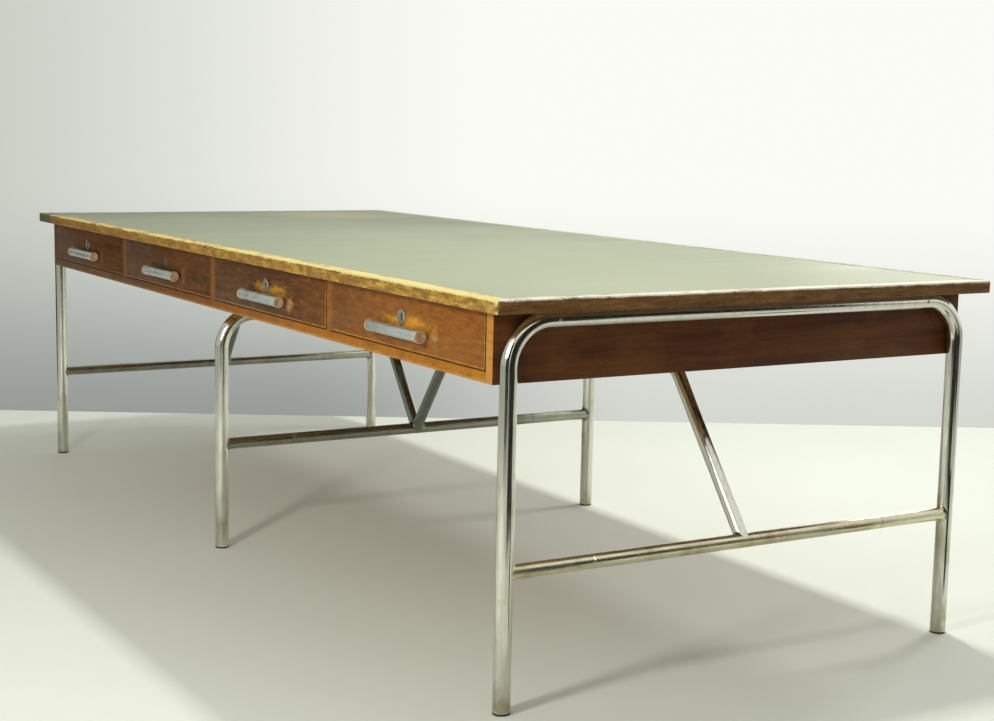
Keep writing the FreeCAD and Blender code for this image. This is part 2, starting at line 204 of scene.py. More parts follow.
def glazed(tree, colour, tint, pattern, start, full, most=1.0, **settings):
    """Lay a tint over a colour as a pattern goes from start to full, up to the share most."""
    share = add(tree, RANGE, {0: pattern, 1: start, 2: full, 4: most}, **settings)
    return add(tree, MIX, {0: share, 6: colour, 7: tint}, **COLOURS)


def start_material(name):
    """An empty material, its tree, and the coordinates that its patterns follow."""
    material = bpy.data.materials.new(name)
    material.use_nodes = True
    tree = material.node_tree
    tree.nodes.clear()
    return material, tree, add(tree, "ShaderNodeTexCoord", {}, out="Object")


def patches(tree, place, size_mm, detail=3.0, rough=0.55):
    """Cloudy noise whose patches measure size_mm along x, y and z."""
    fitted = add(tree, "ShaderNodeMapping", {"Vector": place, "Scale": [1 / (MM * s) for s in size_mm]})
    return add(tree, "ShaderNodeTexNoise",
               {"Vector": fitted, "Scale": 1.0, "Detail": detail, "Roughness": rough})


def surface(tree, height, depth_mm, sockets):
    """Close a material: relief of the given depth, the shader, and the output."""
    relief = add(tree, "ShaderNodeBump", {"Height": height, "Distance": depth_mm * MM})
    shader = add(tree, "ShaderNodeBsdfPrincipled", {"Normal": relief, **sockets})
    add(tree, "ShaderNodeOutputMaterial", {"Surface": shader})


def along(axis, length, width):
    """Sizes of a streak that runs along one axis."""
    return [length if name == axis else width for name in "xyz"]


# Materials

def linoleum():
    # Calendered linoleum: dull olive grey, wiped in long soft bands across the desk, polished by use
    material, tree, place = start_material("linoleum_sheet_green_grey")
    cloud = patches(tree, place, (520, 420, 330), 4.0)
    wipe = patches(tree, place, (85, 1500, 85), 4.0, 0.6)
    streak = patches(tree, place, (22, 900, 22), 5.0, 0.6)
    speck = patches(tree, place, (3.0, 3.0, 3.0), 2.0)
    colour = glazed(tree, "#5B6440", "#727958", cloud, 0.36, 0.66)
    # Painted sheen: lighter towards the right end and the front, standing in for the reflection and light
    # that the sheet catches there
    axes = add(tree, "ShaderNodeSeparateXYZ", {0: place}).node.outputs
    across = add(tree, MATH, {0: axes[1], 1: -0.8, 2: axes[0]}, operation="MULTIPLY_ADD")
    colour = glazed(tree, colour, "#B0B696", across, -1.1, 1.4, 0.9)
    colour = glazed(tree, colour, "#B2B69B", wipe, 0.42, 0.74, 0.46)
    colour = glazed(tree, colour, "#C2C5AB", streak, 0.56, 0.80, 0.36)
    # A yellowed patch far along the sheet, with a ragged edge
    moved = add(tree, "ShaderNodeMapping",
                {"Vector": place, "Location": (4.1, -1.0, 0.0), "Scale": (3.6, 4.0, 0.0)})
    spread = add(tree, VECTOR, {0: moved}, out="Value", operation="LENGTH")
    ragged = add(tree, MATH, {0: cloud, 1: 1.6, 2: spread}, operation="MULTIPLY_ADD")
    colour = glazed(tree, colour, "#A8A066", ragged, 1.75, 1.05, 0.5, **SMOOTH)
    colour = glazed(tree, colour, "#626A4C", speck, 0.3, 0.7, 0.18)
    gloss = add(tree, RANGE, {0: wipe, 1: 0.3, 2: 0.7, 3: 0.38, 4: 0.52})
    surface(tree, speck, 0.05, {"Base Color": colour, "Roughness": gloss, "IOR": 1.5})
    return material


def worn_lipping(name, dark, mid, gold, bare_wood_and_sheen, axis, mottled):
    # Stained oak lipping: varnish left in the grain, mottled by knocks, bare bright wood on its top arris;
    # on the end lippings that colour is near white, painted sheen as well as bare wood
    material, tree, place = start_material(name)
    grain = patches(tree, place, along(axis, 110, 2.6), 5.0, 0.65)
    blotch = patches(tree, place, along(axis, 46, 13), 4.0, 0.6)
    nick = patches(tree, place, (4.2, 4.2, 3.4), 3.0, 0.6)
    colour = glazed(tree, dark, mid, grain, 0.36, 0.62)
    knocked = add(tree, MATH, {0: nick, 1: 0.7, 2: blotch}, operation="MULTIPLY_ADD")
    axes = add(tree, "ShaderNodeSeparateXYZ", {0: place}).node.outputs
    showing = add(tree, RANGE, {0: axes[0], 1: -1.1, 2: 0.9, 3: 0.25 * mottled, 4: mottled})
    colour = glazed(tree, colour, gold, knocked, 0.80, 1.04, showing)
    colour = glazed(tree, colour, gold, grain, 0.62, 0.74, 0.55)
    wear = add(tree, "ShaderNodeAttribute", {}, out="Fac", attribute_name="wear")
    rubbed = add(tree, MATH, {0: blotch, 1: 0.9, 2: wear}, operation="MULTIPLY_ADD")
    rubbed = add(tree, MATH, {0: nick, 1: 0.7, 2: rubbed}, operation="MULTIPLY_ADD")
    shown = add(tree, RANGE, {0: rubbed, 1: 1.22, 2: 1.66}, **SMOOTH)
    colour = add(tree, MIX, {0: shown, 6: colour, 7: bare_wood_and_sheen}, **COLOURS)
    colour = glazed(tree, colour, "#3A2712", nick, 0.34, 0.27, 0.8, **SMOOTH)
    # The far front corner is stained dark green
    far = add(tree, MATH, {0: blotch, 1: 0.10, 2: axes[0]}, operation="MULTIPLY_ADD")
    green = add(tree, RANGE, {0: far, 1: -1.19, 2: -1.24, 4: 0.85}, **SMOOTH)
    ahead = add(tree, RANGE, {0: axes[1], 1: -0.48, 2: -0.56})
    green = add(tree, MATH, {0: green, 1: ahead}, operation="MULTIPLY")
    colour = add(tree, MIX, {0: green, 6: colour, 7: "#4A5230"}, **COLOURS)
    gloss = add(tree, RANGE, {0: shown, 3: 0.46, 4: 0.60})
    relief = add(tree, MATH, {0: nick, 1: 0.5, 2: grain}, operation="MULTIPLY_ADD")
    surface(tree, relief, 0.35, {"Base Color": colour, "Roughness": gloss, "Specular IOR Level": 0.3})
    return material


def hand_rub_and_cap_reflection(tree, colour, own, axes, fine, blotch):
    """Marks round each drawer's bar: a band rubbed above it, and beside its right end a pale spot that is
    a painted reflection of the bar's end cap.
    """
    handled = add(tree, RANGE, {0: axes[0], 1: -0.3, 2: 0.6, 3: 0.06, 4: 1.0})
    # Each mark's place from the middle of the bar, its half length and half height, and its colour
    for x, z, long, high, tint in ((0.02, 0.019, 0.125, 0.016, "#DE9C30"),
                                   # The second mark: a painted reflection of the bar's end cap in the
                                   # varnish
                                   (0.128, -0.004, 0.022, 0.022, "#B58A58")):
        spot = add(tree, "ShaderNodeCombineXYZ", {0: own, 1: axes[2]})
        spot = add(tree, "ShaderNodeMapping",
                   {"Vector": spot, "Location": (-x / long, -(HANDLE_Z + z) / high, 0.0),
                    "Scale": (1 / long, 1 / high, 1.0)})
        away = add(tree, VECTOR, {0: spot}, out="Value", operation="LENGTH")
        away = add(tree, MATH, {0: fine, 1: -1.6, 2: away}, operation="MULTIPLY_ADD")
        away = add(tree, MATH, {0: blotch, 1: -1.6, 2: away}, operation="MULTIPLY_ADD")
        colour = glazed(tree, colour, tint, away, -0.65, -1.40, handled)
    return colour


def varnished_oak(name, dark, mid, light, axis, rubbed):
    # Oak under old satin varnish: brown streaks along the grain, orange where hands rubbed it thin
    material, tree, place = start_material(name)
    band = patches(tree, place, along(axis, 420, 26), 4.0, 0.6)
    grain = patches(tree, place, along(axis, 70, 1.6), 4.0, 0.7)
    blotch = patches(tree, place, (55, 55, 40), 4.0, 0.6)
    fine = patches(tree, place, (7, 7, 7), 3.0, 0.6)
    colour = glazed(tree, dark, mid, band, 0.34, 0.66)
    colour = glazed(tree, colour, light, grain, 0.44, 0.76, 0.45)
    colour = glazed(tree, colour, dark, blotch, 0.58, 0.36, 0.42)
    axes = add(tree, "ShaderNodeSeparateXYZ", {0: place}).node.outputs
    # Lighter orange towards the right end: partly faded varnish, partly painted light for the front lamp
    # falling off along the desk
    start, most = (0.35, 0.7) if rubbed else (-0.5, 0.85)
    colour = glazed(tree, colour, light, axes[0], start, 1.05, most, **SMOOTH)
    if rubbed:
        # Each drawer's own x, counted from its middle
        own = add(tree, MATH, {0: axes[0], 1: BAY_PITCH, 2: 0.0}, operation="WRAP")
        own = add(tree, MATH, {0: own, 1: BAY_PITCH / 2}, operation="SUBTRACT")
        colour = hand_rub_and_cap_reflection(tree, colour, own, axes, fine, blotch)
        side = add(tree, MATH, {0: own}, operation="ABSOLUTE")
        edge = add(tree, MATH, {0: FRONT_HALF, 1: side}, operation="SUBTRACT")
        low = add(tree, MATH, {0: axes[2], 1: FRONT_LOW.z}, operation="SUBTRACT")
        edge = add(tree, MATH, {0: edge, 1: low}, operation="MINIMUM")
    else:
        edge = add(tree, MATH, {0: axes[2], 1: BOX_LOW.z}, operation="SUBTRACT")
    if axis == "x" and not rubbed:
        # Yellowed at the right-hand end
        yellow = add(tree, MATH, {0: blotch, 1: 0.30, 2: axes[0]}, operation="MULTIPLY_ADD")
        colour = glazed(tree, colour, "#C88A1E", yellow, 1.34, 1.50, 0.6)
    # Varnish knocked off along the lower edge and the sides of a front, more of it towards the right end
    rim = add(tree, RANGE, {0: edge, 1: 8 * MM, 2: 3 * MM})
    rim = add(tree, MATH, {0: rim, 1: fine}, operation="MULTIPLY")
    bared = add(tree, RANGE, {0: axes[0], 1: -0.9, 2: 0.6, 3: 0.15, 4: 0.65})
    colour = glazed(tree, colour, "#C98F3C", rim, 0.20, 0.52, bared)
    if rubbed:
        # Painted shade: a dark line along the lower edge and the sides, for the shadow in the gaps round
        # the drawer
        face = add(tree, RANGE, {0: axes[1], 1: FRONT_LOW.y + 2.5 * MM, 2: FRONT_LOW.y + 1.0 * MM, 4: 0.9})
        colour = glazed(tree, colour, "#2A1708", edge, 2.6 * MM, 1.6 * MM, face)
    # Stains and scuffs, more of them towards the right end
    scuff = patches(tree, place, (44, 44, 13), 6.0, 0.7)
    used = add(tree, RANGE, {0: axes[0], 1: -0.4, 2: 0.9, 3: 0.12, 4: 0.46})
    colour = glazed(tree, colour, dark, scuff, 0.50, 0.34, used)
    colour = glazed(tree, colour, "#BC7E34", scuff, 0.52, 0.72, used)
    colour = glazed(tree, colour, "#D9BE8A", fine, 0.725, 0.77, 0.7)
    gloss = add(tree, RANGE, {0: blotch, 1: 0.35, 2: 0.65, 3: 0.36, 4: 0.52})
    surface(tree, grain, 0.10,
            {"Base Color": colour, "Roughness": gloss, "IOR": 1.5, "Specular IOR Level": 0.2})
    return material


def mahogany(name, dark, mid, axis):
    # Red-brown stained veneer: long faint figure, satin varnish, a few pale scuffs
    material, tree, place = start_material(name)
    figure = patches(tree, place, along(axis, 520, 22), 5.0, 0.6)
    pore = patches(tree, place, along(axis, 30, 0.9), 3.0, 0.6)
    cloud = patches(tree, place, (160, 160, 90), 3.0)
    colour = glazed(tree, dark, mid, figure, 0.34, 0.66)
    colour = glazed(tree, colour, "#7C4E24", cloud, 0.46, 0.70, 0.5)
    colour = glazed(tree, colour, "#241208", pore, 0.46, 0.34, 0.5)
    scuff = patches(tree, place, along(axis, 14, 2.4), 2.0, 0.5)
    colour = glazed(tree, colour, "#9A7C58", scuff, 0.74, 0.78, 0.6)
    gloss = add(tree, RANGE, {0: cloud, 1: 0.3, 2: 0.7, 3: 0.44, 4: 0.56})
    surface(tree, pore, 0.06,
            {"Base Color": colour, "Roughness": gloss, "IOR": 1.48, "Specular IOR Level": 0.2})
    return material


def plain_wood(name, dark, mid, axis):
    # Unfinished beech and board: pale planed wood, soft streaks, grey with dust
    material, tree, place = start_material(name)
    band = patches(tree, place, along(axis, 300, 14), 4.0, 0.6)
    pore = patches(tree, place, along(axis, 16, 0.8), 3.0, 0.6)
    cloud = patches(tree, place, (120, 120, 120), 3.0)
    colour = glazed(tree, dark, mid, band, 0.34, 0.66)
    colour = glazed(tree, colour, "#5A3B20", pore, 0.48, 0.32, 0.35)
    colour = glazed(tree, colour, "#8C7C66", cloud, 0.5, 0.72, 0.3)
    gloss = add(tree, RANGE, {0: band, 1: 0.3, 2: 0.7, 3: 0.62, 4: 0.78})
    surface(tree, pore, 0.12, {"Base Color": colour, "Roughness": gloss})
    return material


def plated_tube(name, bright, dull, patina, worn, polish, axis, painted_shade):
    # Nickel-plated steel tube: mirror streaks, a yellow film, grey rub marks and dark pits;
    # the last argument says how much painted shade darkens the tube in the middle and at the left
    material, tree, place = start_material(name)
    cloud = patches(tree, place, (70, 70, 110), 4.0, 0.6)
    rub = patches(tree, place, along(axis, 80, 9), 4.0, 0.6)
    grit = patches(tree, place, (3.2, 3.2, 3.2), 2.0, 0.5)
    axes = add(tree, "ShaderNodeSeparateXYZ", {0: place}).node.outputs
    low = add(tree, RANGE, {0: axes[2], 1: 0.62, 2: 0.10, 3: 0.0, 4: 0.21})
    film = add(tree, MATH, {0: cloud, 1: low}, operation="ADD")
    colour = glazed(tree, bright, patina, film, 0.74 - worn, 1.0 - worn, **SMOOTH)
    colour = glazed(tree, colour, dull, rub, 0.50, 0.76, 0.5)
    # Painted shade: darker towards the middle and the left, under the desk
    colour = glazed(tree, colour, "#737B75", axes[0], 0.95, 0.50, painted_shade)
    pit = add(tree, RANGE, {0: grit, 1: 0.76, 2: 0.80, 4: 0.8})
    colour = add(tree, MIX, {0: pit, 6: colour, 7: "#3A362B"}, **COLOURS)
    gloss = add(tree, RANGE, {0: rub, 1: 0.36, 2: 0.74, 3: polish, 4: polish + 0.16})
    hollow = add(tree, MATH, {0: 1.0, 1: pit}, operation="SUBTRACT")
    surface(tree, hollow, 0.12, {"Base Color": colour, "Roughness": gloss, "Metallic": 1.0})
    return material


def satin_aluminium():
    # Drawn aluminium bar: cool grey, fine lines round it, dulled by hands
    material, tree, place = start_material("satin_aluminium_bar")
    line = patches(tree, place, (1.1, 30, 30), 3.0, 0.6)
    cloud = patches(tree, place, (28, 14, 14), 3.0)
    colour = glazed(tree, "#C4CBCA", "#D8DCDA", cloud, 0.35, 0.68)
    colour = glazed(tree, colour, "#7D7F78", line, 0.62, 0.78, 0.45)
    gloss = add(tree, RANGE, {0: cloud, 1: 0.3, 2: 0.7, 3: 0.40, 4: 0.54})
    surface(tree, line, 0.03, {"Base Color": colour, "Roughness": gloss, "Metallic": 1.0})
    return material


def turned_wood(name, dark, mid, rim_grey):
    # Turned end grain: tan with dots of open pores, the bar ends rubbed pale grey towards their rims
    material, tree, place = start_material(name)
    dots = patches(tree, place, (12, 0.9, 0.9), 3.0, 0.6)
    cloud = patches(tree, place, (12, 9, 9), 3.0)
    colour = glazed(tree, dark, mid, cloud, 0.34, 0.68)
    colour = glazed(tree, colour, "#5E4026", dots, 0.62, 0.76, 0.5)
    middle = add(tree, VECTOR, {0: place, 1: (0.0, HANDLE_Y, HANDLE_Z)}, operation="SUBTRACT")
    across = add(tree, VECTOR, {0: middle, 1: (0.0, 1.0, 1.0)}, operation="MULTIPLY")
    out = add(tree, VECTOR, {0: across}, out="Value", operation="LENGTH")
    colour = glazed(tree, colour, "#B7AFA2", out, 0.72 * CAP_RADIUS, 0.86 * CAP_RADIUS, rim_grey)
    gloss = add(tree, RANGE, {0: cloud, 1: 0.3, 2: 0.7, 3: 0.40, 4: 0.55})
    surface(tree, dots, 0.08, {"Base Color": colour, "Roughness": gloss})
    return material


def small_metal(name, bright, dark, polish):
    # Small turned or stamped metal: tarnish in patches, with hair scratches
    material, tree, place = start_material(name)
    cloud = patches(tree, place, (9, 9, 9), 4.0, 0.6)
    hair = patches(tree, place, (0.8, 6, 7), 2.0)
    colour = glazed(tree, bright, dark, cloud, 0.62, 0.36)
    gloss = add(tree, RANGE, {0: cloud, 1: 0.3, 2: 0.7, 3: polish + 0.16, 4: polish})
    surface(tree, hair, 0.02, {"Base Color": colour, "Roughness": gloss, "Metallic": 1.0})
    return material


# Shapes

def new_piece(name, mesh, material, body, node):
    """A finished piece: its finish, its shading, the body that it rides and the node it stands for."""
    piece = bpy.data.objects.new(name, mesh)
    bpy.context.scene.collection.objects.link(piece)
    mesh.materials.clear()
    mesh.materials.append(material)
    mesh.shade_smooth()
    mesh.set_sharp_from_angle(angle=SMOOTH_ANGLE)
    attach(piece, body)
    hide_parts(node)
    return piece


def refinish(piece, material, chosen):
    """Give another finish to the faces that the test chooses."""
    piece.data.materials.append(material)
    for face in piece.data.polygons:
        if chosen(face):
            face.material_index = 1


def merged(node):
    """A copy of a node's solid with its triangles joined up and its flat faces whole."""
    solid = bmesh.new()
    solid.from_mesh(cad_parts[node].data)
    bmesh.ops.remove_doubles(solid, verts=solid.verts, dist=WELD)
    bmesh.ops.dissolve_limit(solid, angle_limit=FLAT_ANGLE, verts=solid.verts, edges=solid.edges)
    return solid


def to_mesh(solid, name):
    """A mesh from a bmesh, with its faces pointing outwards."""
    bmesh.ops.recalc_face_normals(solid, faces=solid.faces)
    mesh = bpy.data.meshes.new(name)
    solid.to_mesh(mesh)
    solid.free()
    return mesh


def eased(node, width, shortest=0.0):
    """A copy of a node whose sharp edges, down to the shortest length, are rounded off."""
    solid = merged(node)
    sharp = [e for e in solid.edges if e.is_manifold and e.calc_length() > shortest
             and e.calc_face_angle() > EASED_ANGLE]
    bmesh.ops.bevel(solid, geom=sharp, offset=width, offset_type="OFFSET", segments=2, profile=0.5,
                    affect="EDGES", clamp_overlap=True)
    return to_mesh(solid, node + "_eased")


def turned(profile, base, axis):
    """A solid of revolution: profile gives radius and height along the axis, from pole to pole."""
    turn = axis.to_track_quat("Z", "Y").to_matrix()
    angles = [2 * math.pi * n / TURNED_SIDES for n in range(TURNED_SIDES)]
    solid = bmesh.new()
    rings = []
    for radius, height in profile:
        around = angles if radius else [0.0]
        points = [Vector((radius * math.cos(a), radius * math.sin(a), height)) for a in around]
        rings.append([solid.verts.new(base + turn @ point) for point in points])
    for low, high in zip(rings, rings[1:]):
        for n in range(TURNED_SIDES):
            m = n + 1
            corners = [low[n % len(low)], low[m % len(low)], high[m % len(high)], high[n % len(high)]]
            solid.faces.new(list(dict.fromkeys(corners)))
    return solid


def joined(solids, name):
    """Several bmeshes as one mesh."""
    whole = bmesh.new()
    for solid in solids:
        part = to_mesh(solid, name)
        whole.from_mesh(part)
        bpy.data.meshes.remove(part)
    mesh = bpy.data.meshes.new(name)
    whole.to_mesh(mesh)
    whole.free()
    return mesh


def new_tree(name, sockets):
    """An empty Geometry Nodes tree with named inputs."""
    tree = bpy.data.node_groups.new(name, "GeometryNodeTree")
    for label, kind in sockets:
        tree.interface.new_socket(name=label, in_out="INPUT", socket_type=kind)
    tree.interface.new_socket(name="Result", in_out="OUTPUT", socket_type="NodeSocketGeometry")
    return tree


def grown(name, points, edges, aims, tree, values):
    """Run a tree on a few points and keep what it makes as a plain mesh."""
    seed_mesh = bpy.data.meshes.new(name)
    seed_mesh.from_pydata(points, edges, [])
    if aims:
        aim = seed_mesh.attributes.new("aim", "FLOAT_VECTOR", "POINT")
        aim.data.foreach_set("vector", [c for a in aims for c in a])
    carrier = bpy.data.objects.new(name, seed_mesh)
    bpy.context.scene.collection.objects.link(carrier)
    modifier = carrier.modifiers.new("grow", "NODES")
    modifier.node_group = tree
    for socket in tree.interface.items_tree:
        if socket.name in values:
            modifier[socket.identifier] = values[socket.name]
    evaluated = carrier.evaluated_get(bpy.context.evaluated_depsgraph_get())
    mesh = bpy.data.meshes.new_from_object(evaluated)
    carrier.modifiers.remove(modifier)
    bpy.data.objects.remove(carrier)
    return mesh


def bent_tube_tree():
    """A round tube along the object's own line, every corner bent to one radius."""
    tree = new_tree("bent_tube", [("Line", "NodeSocketGeometry"), ("Tube radius", "NodeSocketFloat"),
                                  ("Bend radius", "NodeSocketFloat"), ("Steps in a bend", "NodeSocketInt"),
                                  ("Sides", "NodeSocketInt"), ("Finish", "NodeSocketMaterial")])
    given = add(tree, "NodeGroupInput", {}).node.outputs
    line = add(tree, "GeometryNodeMeshToCurve", {"Mesh": given["Line"]})
    bent = add(tree, "GeometryNodeFilletCurve", {"Curve": line, "Count": given["Steps in a bend"],
                                                 "Radius": given["Bend radius"]}, mode="POLY")
    ring = add(tree, "GeometryNodeCurvePrimitiveCircle", {"Resolution": given["Sides"],
                                                          "Radius": given["Tube radius"]})
    skin = add(tree, "GeometryNodeCurveToMesh", {"Curve": bent, "Profile Curve": ring, "Fill Caps": True})
    real = add(tree, "GeometryNodeRealizeInstances", {"Geometry": skin})
    done = add(tree, "GeometryNodeSetMaterial", {"Geometry": real, "Material": given["Finish"]})
    add(tree, "NodeGroupOutput", {"Result": done})
    return tree


def screw_tree():
    """Slotted round screw heads on the points, each along its aim, with its slot turned at random."""
    tree = new_tree("slotted_screws", [("Seats", "NodeSocketGeometry"), ("Head radius", "NodeSocketFloat"),
                                       ("Head height", "NodeSocketFloat"), ("Slot", "NodeSocketFloat"),
                                       ("Seed", "NodeSocketInt"), ("Finish", "NodeSocketMaterial")])
    given = add(tree, "NodeGroupInput", {}).node.outputs
    ball = add(tree, "GeometryNodeMeshUVSphere",
               {"Segments": 24, "Rings": 16, "Radius": given["Head radius"]})
    flat = add(tree, MATH, {0: given["Head height"], 1: given["Head radius"]}, operation="DIVIDE")
    squash = add(tree, "ShaderNodeCombineXYZ", {0: 1.0, 1: 1.0, 2: flat})
    dome = add(tree, "GeometryNodeTransform", {"Geometry": ball, "Scale": squash})
    long = add(tree, MATH, {0: given["Head radius"], 1: 3.0}, operation="MULTIPLY")
    bar = add(tree, "ShaderNodeCombineXYZ", {0: long, 1: given["Slot"], 2: given["Head height"]})
    cutter = add(tree, "GeometryNodeMeshCube", {"Size": bar})
    lift = add(tree, "ShaderNodeCombineXYZ", {2: given["Head height"]})
    cutter = add(tree, "GeometryNodeTransform", {"Geometry": cutter, "Translation": lift})
    # The exact solver gives the points in the same order each run
    head = add(tree, "GeometryNodeMeshBoolean", {"Mesh 1": dome, "Mesh 2": cutter},
               operation="DIFFERENCE", solver="EXACT")
    aim = add(tree, "GeometryNodeInputNamedAttribute", {"Name": "aim"}, data_type="FLOAT_VECTOR")
    upright = add(tree, "FunctionNodeAlignRotationToVector", {"Vector": aim}, axis="Z")
    spin = add(tree, "FunctionNodeRandomValue", {2: 0.0, 3: math.pi, "Seed": given["Seed"]},
               out=1, data_type="FLOAT")
    spin = add(tree, "FunctionNodeAxisAngleToRotation", {"Axis": (0.0, 0.0, 1.0), "Angle": spin})
    turn = add(tree, "FunctionNodeRotateRotation", {"Rotation": upright, "Rotate By": spin},
               rotation_space="LOCAL")
    set_out = add(tree, "GeometryNodeInstanceOnPoints",
                  {"Points": given["Seats"], "Instance": head, "Rotation": turn})
    real = add(tree, "GeometryNodeRealizeInstances", {"Geometry": set_out})
    done = add(tree, "GeometryNodeSetMaterial", {"Geometry": real, "Material": given["Finish"]})
    add(tree, "NodeGroupOutput", {"Result": done})
    return tree


def braze(centre, main_axis, main_radius, branch_axis, branch_radius):
    """The smooth bead where a branch tube meets a main tube: a ring with a hollow face."""
    first = branch_axis.cross(main_axis).normalized()
    second = branch_axis.cross(first)
    solid = bmesh.new()
    rings = []
    for n in range(BEAD_SIDES):
        angle = 2 * math.pi * n / BEAD_SIDES
        out = first * math.cos(angle) + second * math.sin(angle)
        # Seen along the main tube, a line on the branch's skin starts at skin and runs along climb. It
        # leaves the main tube at the larger root of a quadratic.
        skin = branch_radius * (out - out.dot(main_axis) * main_axis)
        climb = branch_axis - branch_axis.dot(main_axis) * main_axis
        root = math.sqrt(skin.dot(climb) ** 2 - climb.dot(climb) * (skin.dot(skin) - main_radius ** 2))
        meet = centre + branch_radius * out + branch_axis * (root - skin.dot(climb)) / climb.dot(climb)
        # The bead's two edges, one on the main tube and one on the branch
        rise = meet - centre
        normal = (rise - rise.dot(main_axis) * main_axis).normalized()
        slide = out - out.dot(normal) * normal
        spread = meet + slide * BRAZE_REACH - centre
        level = spread.dot(main_axis) * main_axis
        on_main = centre + level + (spread - level).normalized() * main_radius
        on_branch = meet + branch_axis * BRAZE_REACH
        ring = []
        for step in range(BEAD_STEPS + 1):
            t = step / BEAD_STEPS
            ring.append(on_main * (1 - t) ** 2 + meet * 2 * t * (1 - t) + on_branch * t ** 2)
        ring.append(meet - out * MM - normal * MM)
        rings.append([solid.verts.new(point) for point in ring])
    for here, after in zip(rings, rings[1:] + rings[:1]):
        for n in range(len(here)):
            m = (n + 1) % len(here)
            solid.faces.new((here[n], here[m], after[m], after[n]))
    return solid


def lipping_section():
    """Points round the lipping: depth from its outer face, height, and how far it is worn there."""
    points = [(LIPPING_WIDTH, LIPPING_HEIGHT, 0.62), (0.80 * LIPPING_WIDTH, LIPPING_HEIGHT, 0.74),
              (0.55 * LIPPING_WIDTH, LIPPING_HEIGHT, 0.80), (0.30 * LIPPING_WIDTH, LIPPING_HEIGHT, 0.86)]
    for step in range(TOP_STEPS + 1):
        angle = math.pi / 2 * step / TOP_STEPS
        depth = TOP_ROUND * (1 - math.sin(angle))
        points.append((depth, LIPPING_HEIGHT - TOP_ROUND * (1 - math.cos(angle)), 0.95))
    points += [(0.0, 0.84 * LIPPING_HEIGHT, 0.50), (0.0, 0.72 * LIPPING_HEIGHT, 0.26),
               (0.0, 0.50 * LIPPING_HEIGHT, 0.14), (0.0, 0.25 * LIPPING_HEIGHT, 0.10)]
    for step in range(LOW_STEPS + 1):
        angle = math.pi / 2 * step / LOW_STEPS
        points.append((LOW_ROUND * (1 - math.cos(angle)), LOW_ROUND * (1 - math.sin(angle)), 0.22))
    return points + [(0.5 * LIPPING_WIDTH, 0.0, 0.0), (LIPPING_WIDTH, 0.0, 0.0)]


def worn_bar(name, half, out, turns, top_wear, face_wear, extra_wear):
    """One mitred lipping, its arrises rubbed and chipped; turns is in quarter turns from the front."""
    spin = Matrix.Rotation(turns * math.pi / 2, 3, "Z")
    count = round(2 * (half - CORNER_RADIUS) / WEAR_STEP)
    line = [((2 * n / count - 1) * (half - CORNER_RADIUS), 0.0) for n in range(count + 1)]
    corner = [(half - CORNER_RADIUS + CORNER_RADIUS * math.sin(a), CORNER_RADIUS * (1 - math.cos(a)))
              for a in (math.pi / 4 * n / CORNER_STEPS for n in range(1, CORNER_STEPS + 1))]
    line = [(-x, y) for x, y in reversed(corner)] + line + corner
    longest = line[-1][0]
    section = lipping_section()
    solid = bmesh.new()
    worn = solid.verts.layers.float.new("wear")
    rings = []
    for x, inset in line:
        outer = Vector((x, inset - out, TOP_LOW.z))
        inner = Vector((x / longest * (half - LIPPING_WIDTH), LIPPING_WIDTH - out, TOP_LOW.z))
        ring = []
        for depth, height, wear in section:
            point = spin @ (outer.lerp(inner, depth / LIPPING_WIDTH) + Vector((0, 0, height)))
            rub = noise.noise(point * RUB_SCALE) * 0.5 + 0.5
            chip = max(0.0, noise.noise(point * CHIP_SCALE + CHIP_SHIFT) - CHIP_START) * wear
            inward = (spin @ (inner - outer)).normalized()
            near_face = depth < 0.25 * LIPPING_WIDTH
            if near_face and not 0.2 < height / LIPPING_HEIGHT < 0.85:
                down = -1.0 if height > LIPPING_HEIGHT / 2 else 1.0
                bite = RUB_DEPTH * rub + CHIP_DEPTH * chip
                point = point + inward * bite + Vector((0, 0, down * 0.6 * bite))
            ends = max(0.0, 1 - (half - abs(x)) / CORNER_WEAR) * extra_wear if x > 0 else 0.0
            kept = face_wear if near_face else top_wear
            # Less worn towards the bar's own left end
            kept *= 0.74 + 0.34 * min(1.0, max(0.0, (x + 0.5) / 1.8))
            vert = solid.verts.new(point)
            vert[worn] = min(1.0, wear * kept * (0.80 + 0.4 * rub) + 0.5 * chip * kept + 0.5 * ends)
            ring.append(vert)
        rings.append(ring)
    for here, after in zip(rings, rings[1:]):
        for n in range(len(here)):
            m = (n + 1) % len(here)
            solid.faces.new((here[n], here[m], after[m], after[n]))
    solid.faces.new(rings[0])
    solid.faces.new(rings[-1])
    return to_mesh(solid, name)


# The finishes

LINOLEUM = linoleum()
LIPPING_LONG = worn_lipping("worn_oak_lipping", "#6C4B18", "#9C6E24", "#CFA546", "#ECD98C", "x", 0.95)
LIPPING_BACK = worn_lipping("stained_oak_back_lipping", "#4E3012", "#7A5122", "#A8946A", "#B4B294", "x",
                            0.25)
